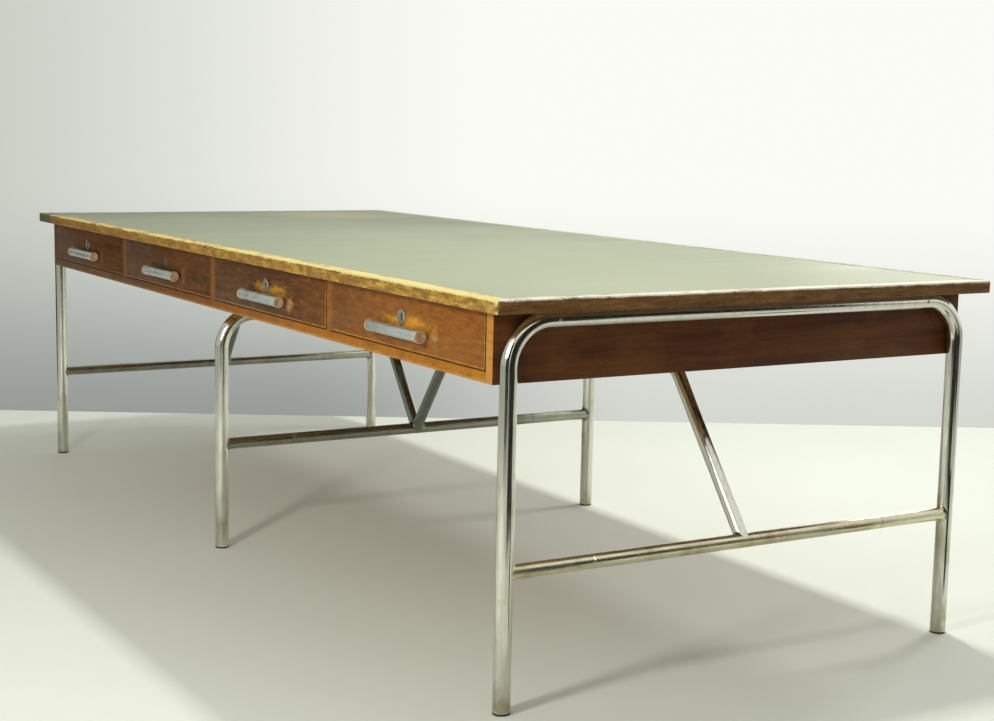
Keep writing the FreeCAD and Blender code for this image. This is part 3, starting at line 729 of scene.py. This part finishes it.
# The end lippings' near-white top arris: bare wood with painted sheen
LIPPING_END = worn_lipping("stained_oak_lipping", "#4E3012", "#7A5122", "#B08A52", "#F1EAD6", "y", 0.25)
OAK_FRONT = varnished_oak("varnished_oak_front", "#391F08", "#58310E", "#A0601A", "x", True)
OAK_RAIL = varnished_oak("varnished_oak_rail", "#4E2C0B", "#6E400F", "#B06E18", "x", False)
OAK_DIVIDER = varnished_oak("varnished_oak_divider", "#5E3812", "#84501A", "#9A5E1C", "z", False)
OAK_STILE = varnished_oak("varnished_oak_stile", "#46280B", "#643A10", "#D08E3C", "z", False)
PANEL = mahogany("mahogany_veneer", "#46210C", "#653917", "y")
APRON = mahogany("mahogany_veneer_back", "#4C2610", "#6C3F1C", "x")
BEECH_Y = plain_wood("planed_beech_sides", "#9C7748", "#C29D6B", "y")
BEECH_X = plain_wood("planed_beech_back", "#9C7748", "#C29D6B", "x")
BOARD = plain_wood("blockboard_core", "#7A5730", "#A47E4E", "x")
# The last number of each tube finish is its painted shade towards the middle and the left
NICKEL = plated_tube("nickel_plated_leg_tube", "#D8D6CC", "#A6A498", "#A69E82", 0.08, 0.08, "z", 0.0)
NICKEL_BRACE = plated_tube("nickel_plated_brace_tube", "#D8D6CC", "#A6A498", "#BCAE82", 0.08, 0.10, "z",
                           0.85)
NICKEL_DULL = plated_tube("nickel_plated_stretcher_tube", "#DED8BC", "#B8B296", "#BFB287", 0.16, 0.22, "y",
                          0.7)
ALUMINIUM = satin_aluminium()
PLUG_WOOD = turned_wood("turned_beech_plug", "#AA8860", "#C4A780", 0.6)
HOLE_WOOD = turned_wood("oak_hole_plug", "#4E2E10", "#6C4118", 0.0)
ROSETTE = small_metal("nickel_lock_rosette", "#C6C2B4", "#9C9788", 0.36)
KEY_PLUG = small_metal("aged_nickel_key_plug", "#BDB8AA", "#948D7C", 0.38)
# Painted shade: near black inside the keyhole, where the hole's depth is dark
KEYHOLE_PAINTED_SHADE = small_metal("keyhole_painted_shade", "#1E1B17", "#0E0C0A", 0.60)
STEEL = small_metal("dull_steel", "#8E8A82", "#57534C", 0.34)
FOOT = small_metal("dark_steel_foot", "#4A463E", "#26241F", 0.45)


# Top

new_piece("linoleum", eased("linoleum_sheet", 0.5 * MM), LINOLEUM, "desk", "linoleum_sheet")
new_piece("top_board", eased("top_panel", 0.3 * MM, 4 * MM), BOARD, "desk", "top_panel")
# Each lipping: half its length, how far out it lies, its quarter turns, its finish, and how worn its top,
# its face and its right-hand end are
for side, half, out, turns, finish, top, face, extra in (
        ("front", DESK_HIGH.x, DESK_HIGH.y, 0, LIPPING_LONG, 1.0, 1.0, 1.0),
        ("right", DESK_HIGH.y, DESK_HIGH.x, 1, LIPPING_END, 1.25, 1.0, 0.2),
        ("back", DESK_HIGH.x, DESK_HIGH.y, 2, LIPPING_BACK, 1.2, 0.5, 0.4),
        ("left", DESK_HIGH.y, DESK_HIGH.x, 3, LIPPING_END, 0.75, 0.5, 0.4)):
    mesh = worn_bar("lipping_" + side, half, out, turns, top, face, extra)
    new_piece("worn_lipping_" + side, mesh, finish, "desk", "lipping_" + side)

# Drawer box

for node, finish, slot in (
        ("end_panel_left", PANEL, "panel_mahogany"),
        ("end_panel_right", PANEL, "panel_mahogany"),
        ("back_apron", APRON, "panel_mahogany"),
        ("front_rail", OAK_RAIL, "front_oak"),
        ("dividers", OAK_DIVIDER, "front_oak"),
        ("centre_beam", BOARD, "board"),
        ("rear_cross_rails", BOARD, "board"),
        ("drawer_runners", BEECH_Y, "drawer_wood"),
        ("strike_plates", STEEL, "steel")):
    board = new_piece(node + "_board", eased(node, 0.8 * MM, 4 * MM), finish, "desk", node)
    if finish is PANEL:
        refinish(board, OAK_STILE, lambda face: face.normal.y < -0.5)

# Drawers and their fittings

# Each drawer's boards and bar: piece, node, width of the eased edges, shortest edge eased, finish, slot
DRAWER_PIECES = (("_face", "_front", 0.9 * MM, 4 * MM, OAK_FRONT, "front_oak"),
                 ("_dovetailed_sides", "_sides", 0.3 * MM, 3 * MM, BEECH_Y, "drawer_wood"),
                 ("_back_board", "_back", 0.6 * MM, 0.0, BEECH_X, "drawer_wood"),
                 ("_bottom_board", "_bottom", 0.6 * MM, 0.0, BEECH_X, "drawer_wood"),
                 ("_bar", "_handle", 0.45 * MM, 0.0, ALUMINIUM, "handle_metal"))
# A bar end, from the middle of its face: a sunk eye, a turned groove, the rim, and the peg behind it
BAR_END = [(0.0, -0.5 * MM), (0.30 * CAP_RADIUS, -0.5 * MM), (0.36 * CAP_RADIUS, -0.1 * MM),
           (0.74 * CAP_RADIUS, -0.1 * MM), (0.78 * CAP_RADIUS, -0.6 * MM), (0.82 * CAP_RADIUS, -0.1 * MM),
           (0.92 * CAP_RADIUS, 0.0), (CAP_RADIUS, -1.0 * MM), (CAP_RADIUS, 0.6 * MM - CAP_THICKNESS),
           (CAP_RADIUS - 0.6 * MM, -CAP_THICKNESS), (PEG_RADIUS, -CAP_THICKNESS),
           (PEG_RADIUS, -CAP_THICKNESS - PEG_LENGTH), (0.0, -CAP_THICKNESS - PEG_LENGTH)]
# Faces of the key plug that lie this near to its axis are the keyhole's
KEYHOLE_REACH = 0.94 * (LOCK_HIGH.x - LOCK_LOW.x) / 2

for number, middle in DRAWERS.items():
    body = f"drawer_{number}"
    for piece, node, width, shortest, finish, slot in DRAWER_PIECES:
        new_piece(body + piece, eased(body + node, width, shortest), finish, body, body + node)
    low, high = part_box(body + "_handle_plugs")
    caps = [turned(BAR_END, Vector((x, HANDLE_Y, HANDLE_Z)), Vector((turn, 0, 0)))
            for x, turn in ((low.x, -1), (high.x, 1))]
    mesh = joined(caps, "bar_ends")
    new_piece(body + "_bar_ends", mesh, PLUG_WOOD, body, body + "_handle_plugs")
    if number in LOCKED:
        lock = f"lock_{number}_"
        mesh = eased(lock + "case", 0.35 * MM)
        new_piece(lock + "rosette", mesh, ROSETTE, body, lock + "case")
        mesh = eased(lock + "plug", 0.2 * MM)
        plug = new_piece(lock + "key_plug", mesh, KEY_PLUG, lock + "plug", lock + "plug")
        axis = Vector((middle, 0, LOCK_Z))
        # The keyhole's faces get the near-black painted shade
        refinish(plug, KEYHOLE_PAINTED_SHADE, lambda face: LOCK_LOW.y + 0.4 * MM < face.center.y < FRONT_HIGH.y
                 and ((face.center - axis) * Vector((1, 0, 1))).length < KEYHOLE_REACH)
        mesh = eased(lock + "bolt", 0.3 * MM)
        new_piece(lock + "sliding_bolt", mesh, STEEL, lock + "bolt", lock + "bolt")
    else:
        mesh = eased(body + "_hole_plug", 0.3 * MM)
        new_piece(body + "_wood_plug", mesh, HOLE_WOOD, body, body + "_hole_plug")

# Tube frames

TUBE = bent_tube_tree()
LEGS = {"left": -FRAME_X, "middle": 0.0, "right": FRAME_X}
for side, x in LEGS.items():
    run_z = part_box("u_tube_" + side)[1].z - LEG_RADIUS
    corners = [(x, -LEG_Y, FOOT_TOP), (x, -LEG_Y, run_z), (x, LEG_Y, run_z), (x, LEG_Y, FOOT_TOP)]
    mesh = grown("leg_tube", corners, [(0, 1), (1, 2), (2, 3)], [], TUBE,
                 {"Tube radius": LEG_RADIUS, "Bend radius": LEG_BEND, "Steps in a bend": LEG_BEND_STEPS,
                  "Sides": LEG_SIDES, "Finish": NICKEL})
    new_piece("leg_frame_" + side, mesh, NICKEL, "desk", "u_tube_" + side)
    half = STUB_JOINT_Y - JOINT_GROOVE / 2
    bar = [(0.0, -half), (STRETCHER_RADIUS - JOINT_GROOVE, -half), (STRETCHER_RADIUS, JOINT_GROOVE - half),
           (STRETCHER_RADIUS, half - JOINT_GROOVE), (STRETCHER_RADIUS - JOINT_GROOVE, half), (0.0, half)]
    mesh = joined([turned(bar, Vector((x, 0, STRETCHER_Z)), Vector((0, 1, 0)))], "stretcher")
    new_piece("cross_stretcher_" + side, mesh, NICKEL_DULL, "desk", "stretcher_" + side)

stub_length = LEG_Y - STUB_END * LEG_RADIUS - STUB_JOINT_Y
stub = [(0.0, 0.0), (STRETCHER_RADIUS - JOINT_GROOVE, 0.0), (STRETCHER_RADIUS, JOINT_GROOVE),
        (STRETCHER_RADIUS, stub_length), (0.0, stub_length)]
stubs = []
for x in LEGS.values():
    for side in (-1, 1):
        inward = Vector((0, -side, 0))
        stubs.append(turned(stub, Vector((x, side * STUB_JOINT_Y, STRETCHER_Z)), -inward))
        stubs.append(braze(Vector((x, side * LEG_Y, STRETCHER_Z)), Vector((0, 0, 1)), LEG_RADIUS, inward,
                           STRETCHER_RADIUS))
mesh = joined(stubs, "brazed_stubs")
new_piece("brazed_stubs", mesh, NICKEL_DULL, "desk", "stretcher_stubs")

brace_reach = (BRACE_RUN_Z - STRETCHER_Z) / math.tan(BRACE_ANGLE)
for side, sign in (("left", -1), ("right", 1)):
    ends = (sign * FRAME_X, 0.0)
    leans = (-sign, sign)
    arms = []
    beads = []
    for x, lean in zip(ends, leans):
        rise = Vector((lean * math.cos(BRACE_ANGLE), 0, math.sin(BRACE_ANGLE)))
        foot = Vector((x, 0, STRETCHER_Z))
        arms.append(foot + rise * BRACE_END * STRETCHER_RADIUS)
        beads.append(braze(foot, Vector((0, 1, 0)), STRETCHER_RADIUS, rise, BEAD_FIT * BRACE_RADIUS))
    tops = [(x + lean * brace_reach, 0, BRACE_RUN_Z) for x, lean in zip(ends, leans)]
    mesh = grown("brace_tube", [arms[0], tops[0], tops[1], arms[1]], [(0, 1), (1, 2), (2, 3)], [], TUBE,
                 {"Tube radius": BRACE_RADIUS, "Bend radius": BRACE_BEND,
                  "Steps in a bend": BRACE_BEND_STEPS, "Sides": BRACE_SIDES, "Finish": NICKEL_BRACE})
    whole = bmesh.new()
    whole.from_mesh(mesh)
    mesh = joined([whole] + beads, "brace")
    new_piece("bent_brace_" + side, mesh, NICKEL_BRACE, "desk", "brace_" + side)

pad = [(0.0, 0.0), (LEG_RADIUS - 1.2 * MM, 0.0), (LEG_RADIUS, 1.0 * MM), (LEG_RADIUS, FOOT_TOP - 0.5 * MM),
       (LEG_RADIUS - 0.5 * MM, FOOT_TOP), (0.0, FOOT_TOP)]
feet = [turned(pad, Vector((x, side * LEG_Y, 0)), Vector((0, 0, 1)))
        for x in LEGS.values() for side in (-1, 1)]
new_piece("feet", joined(feet, "feet"), FOOT, "desk", "foot_plugs")

# Screws: two on each end run, two under the middle run and two under each brace

run_z = LEG_HIGH.z - LEG_RADIUS
middle_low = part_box("u_tube_middle")[1].z - 2 * LEG_RADIUS
screw_y = LEG_Y - LEG_BEND - LEG_SCREW_INSET
seats = []
aims = []
for sign in (-1, 1):
    for y in (-screw_y, screw_y):
        seats.append((sign * (FRAME_X + LEG_RADIUS), y, run_z))
        aims.append((sign, 0, 0))
    for x in (brace_reach + BRACE_SCREW_INSET, FRAME_X - brace_reach - BRACE_SCREW_INSET):
        seats.append((sign * x, 0, BRACE_RUN_Z - BRACE_RADIUS))
        aims.append((0, 0, -1))
    seats.append((0, sign * screw_y, middle_low))
    aims.append((0, 0, -1))
mesh = grown("screws", seats, [], aims, screw_tree(),
             {"Head radius": SCREW_HEAD_RADIUS, "Head height": SCREW_HEAD_HEIGHT, "Slot": SCREW_SLOT,
              "Seed": 4, "Finish": ROSETTE})
new_piece("slotted_screws", mesh, ROSETTE, "desk", "frame_screws")


# Floor, light and camera

def stand(name, points, faces, material):
    """A piece of the studio: not part of the desk."""
    mesh = bpy.data.meshes.new(name)
    mesh.from_pydata(points, [], faces)
    mesh.materials.append(material)
    made = bpy.data.objects.new(name, mesh)
    bpy.context.scene.collection.objects.link(made)
    return made


def hide(made, *rays):
    """Keep a piece of the studio, or a lamp, out of some kinds of rays."""
    for ray in rays:
        setattr(made, "visible_" + ray, False)


def floor():
    """A pale floor on every side."""
    material, tree, place = start_material("pale_floor")
    cloud = patches(tree, place, (900, 900, 900), 3.0)
    colour = add(tree, MIX, {0: cloud, 6: "#EAEDE1", 7: "#F3F6EB"}, **COLOURS)
    surface(tree, cloud, 0.1, {"Base Color": colour, "Roughness": 0.7})
    points = [(x * FLOOR_REACH, y * FLOOR_REACH, 0) for x, y in ((-1, -1), (1, -1), (1, 1), (-1, 1))]
    stand("floor", points, [(0, 1, 2, 3)], material)


def flags():
    """Dark cards beside the desk that only polished and varnished surfaces reflect."""
    material, tree, place = start_material("black_felt_flag")
    nap = patches(tree, place, (3, 3, 3), 2.0)
    surface(tree, nap, 0.2, {"Base Color": "#1E1E17", "Roughness": 1.0})
    # Each card's line on the floor and its height
    for name, plan, high in (("flag_left", [(2.3, -3.0), (4.15, -2.15)], 2.4),
                             ("flag_right", [(4.45, -1.75), (4.5, 0.4), (3.6, 2.4)], 2.4),
                             ("flag_near", [(2.6, -0.9), (2.6, 0.6)], 0.7),
                             ("flag_leg_front", [(1.75, -0.28), (1.75, -0.12)], 0.30),
                             ("flag_leg_back", [(1.75, 0.52), (1.75, 0.73)], 0.28),
                             ("flag_front", [(-9.0, -2.2), (-1.9, -1.6)], 1.5)):
        points = [(x, y, z) for x, y in plan for z in (0.0, high)]
        faces = [(2 * n, 2 * n + 2, 2 * n + 3, 2 * n + 1) for n in range(len(plan) - 1)]
        hide(stand(name, points, faces, material), "camera", "diffuse", "shadow", "transmission")


def painted_wall_light(tree, look):
    """The wall's colour in a direction, painted light and shade: grey on the left, white on the right,
    darker towards the floor.
    """
    right = (math.cos(CAMERA_YAW), math.sin(CAMERA_YAW), 0.0)
    side = add(tree, VECTOR, {0: look, 1: right}, out="Value", operation="DOT_PRODUCT")
    level = add(tree, "ShaderNodeSeparateXYZ", {0: look}).node.outputs[2]
    wall = glazed(tree, "#C5CAC1", "#FAFBF5", side, -0.36, 0.02, **SMOOTH)
    # Painted shade low on the wall, darkest on the left
    foot = glazed(tree, "#969B98", "#D4D7D0", side, -0.13, 0.10, **SMOOTH)
    return glazed(tree, wall, foot, level, -0.03, -0.18, **SMOOTH)


def wall():
    """The wall behind the desk, glowing with painted light and shade, which shows from the desk's side
    only.
    """
    material, tree, place = start_material("pale_wall")
    away = add(tree, VECTOR, {0: place, 1: CAMERA_PLACE}, operation="SUBTRACT")
    look = add(tree, VECTOR, {0: away}, operation="NORMALIZE")
    glow = add(tree, "ShaderNodeEmission", {"Color": painted_wall_light(tree, look), "Strength": 1.0})
    behind = add(tree, "ShaderNodeNewGeometry", {}, out="Backfacing")
    clear = add(tree, "ShaderNodeBsdfTransparent", {})
    shown = add(tree, "ShaderNodeMixShader", {0: behind, 1: glow, 2: clear})
    add(tree, "ShaderNodeOutputMaterial", {"Surface": shown})
    left, right = WALL_LINE
    run = (right - left).normalized() * WALL_RUN
    up = Vector((0.0, 0.0, WALL_HEIGHT))
    points = [left - run, right + run, right + run + up, left - run + up]
    made = stand("wall", points, [(0, 1, 2, 3)], material)
    hide(made, "diffuse", "glossy", "shadow", "transmission")


def studio():
    """An even light from all round; polished metal and the camera see the pale room's painted light and
    shade instead.
    """
    world = bpy.data.worlds.new("studio")
    bpy.context.scene.world = world
    world.use_nodes = True
    tree = world.node_tree
    tree.nodes.clear()
    look = add(tree, "ShaderNodeTexCoord", {}, out="Generated")
    seen = add(tree, "ShaderNodeLightPath", {}).node.outputs
    shown = add(tree, MATH, {0: seen["Is Camera Ray"], 1: seen["Is Glossy Ray"]}, operation="MAXIMUM")
    shown = add(tree, MATH, {0: shown, 1: seen["Is Transmission Ray"]}, operation="MAXIMUM")
    colour = add(tree, MIX, {0: shown, 6: FILL_LIGHT, 7: painted_wall_light(tree, look)}, **COLOURS)
    light = add(tree, "ShaderNodeBackground", {"Color": colour, "Strength": 1.0})
    add(tree, "ShaderNodeOutputWorld", {"Surface": light})


def lamp(name, place, target, size, power, colour, *hidden):
    """A soft rectangular lamp that faces a target, kept out of some kinds of rays."""
    data = bpy.data.lights.new(name, "AREA")
    data.shape = "RECTANGLE"
    data.size, data.size_y = size
    data.energy = power
    data.color = srgb(colour)[:3]
    made = bpy.data.objects.new(name, data)
    made.location = place
    made.rotation_euler = (Vector(target) - Vector(place)).to_track_quat("-Z", "Y").to_euler()
    hide(made, "camera", *hidden)
    bpy.context.scene.collection.objects.link(made)


def camera():
    """The photograph's viewpoint."""
    data = bpy.data.cameras.new("camera")
    data.lens = CAMERA_LENS
    data.sensor_width = SENSOR_WIDTH
    data.sensor_fit = "HORIZONTAL"
    yaw, pitch, roll = CAMERA_YAW, CAMERA_PITCH, CAMERA_ROLL
    ahead = Vector((-math.sin(yaw) * math.cos(pitch), math.cos(yaw) * math.cos(pitch), -math.sin(pitch)))
    right = Vector((math.cos(yaw), math.sin(yaw), 0))
    up = right.cross(ahead)
    axis_x = math.cos(roll) * right + math.sin(roll) * up
    axis_y = math.cos(roll) * up - math.sin(roll) * right
    turn = Matrix((axis_x, axis_y, -ahead)).transposed()
    made = bpy.data.objects.new("camera", data)
    made.matrix_world = Matrix.Translation(CAMERA_PLACE) @ turn.to_4x4()
    bpy.context.scene.collection.objects.link(made)
    bpy.context.scene.camera = made


floor()
wall()
flags()
studio()
lamp("overhead", (0.26, 0.82, 3.3), (0.26, 0.6, 0.0), (0.3, 0.22), 54, "#FFFFFA")
lamp("front", (1.84, -2.5, 1.6), (0.6, -0.4, 0.5), (0.3, 0.3), 25, "#FFFFF8", "glossy")
lamp("front_gleam", (1.84, -2.5, 1.6), (0.6, -0.4, 0.5), (1.2, 1.1), 38, "#FFFFF8", "diffuse")
lamp("floor_bounce", (-0.3, -1.9, 0.01), (-0.3, -1.9, 1.0), (1.2, 0.6), 16, "#FFFFF4", "glossy")
lamp("back", (0.05, 3.5, 4.1), (0.4, 0.4, 0.4), (0.8, 0.8), 40, "#FFFFFF")
lamp("wall_glow", (-1.16, 3.55, 1.5), (1.2, 0.4, 0.76), (1.4, 1.4), 9, "#FFFFF4")
camera()
bpy.context.scene.view_settings.view_transform = "Standard"
